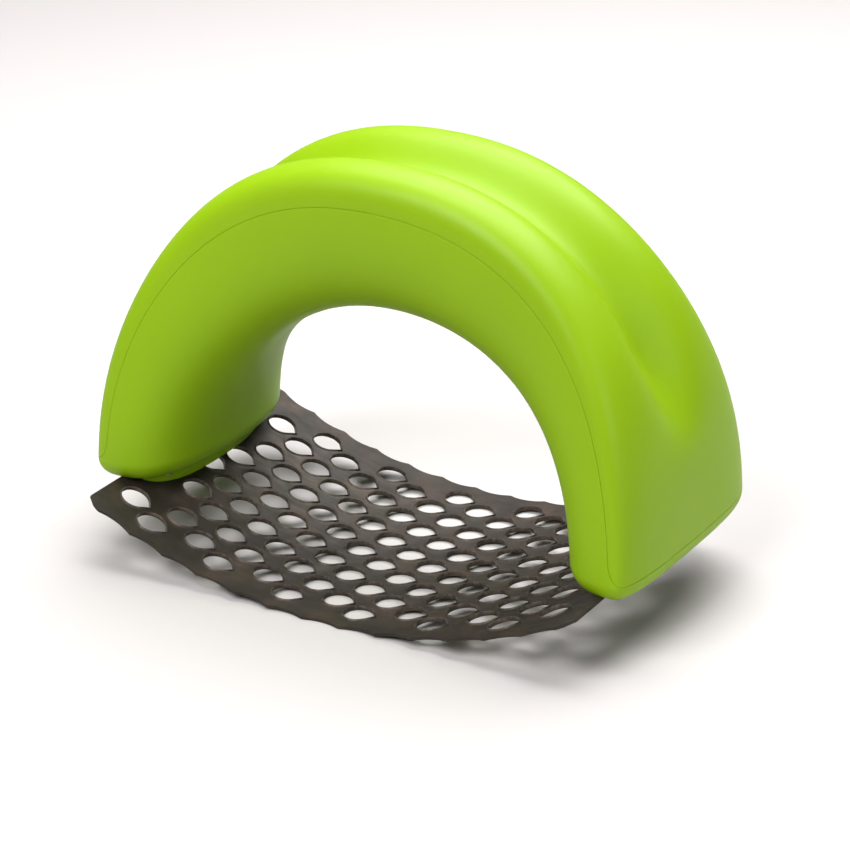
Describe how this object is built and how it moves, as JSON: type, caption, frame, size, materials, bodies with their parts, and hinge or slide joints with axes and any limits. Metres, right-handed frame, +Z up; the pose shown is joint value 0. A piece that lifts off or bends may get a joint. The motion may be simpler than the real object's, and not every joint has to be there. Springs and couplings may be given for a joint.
{
  "type": "rocking garlic press",
  "caption": "Arched two-shell plastic handle on a curved, perforated steel blade that is rocked over garlic by hand.",
  "frame": {"origin": "centre of the bounding box, at the lowest point of the blade", "axes": "+X along the handle from foot to foot, +Y from the front edge of the blade to its back edge, +Z up"},
  "size_m": [0.1, 0.056, 0.0693],
  "materials": {
    "handle_plastic": "satin, finely textured lime green",
    "blade_steel": "dark brown, satin, mottled",
    "screw_steel": "plain zinc"
  },
  "bodies": {
    "root": {"outer_shell": "handle_plastic", "inner_shell": "handle_plastic", "blade": "blade_steel", "shell_screws": "screw_steel", "blade_screws": "screw_steel"}
  },
  "joints": []
}
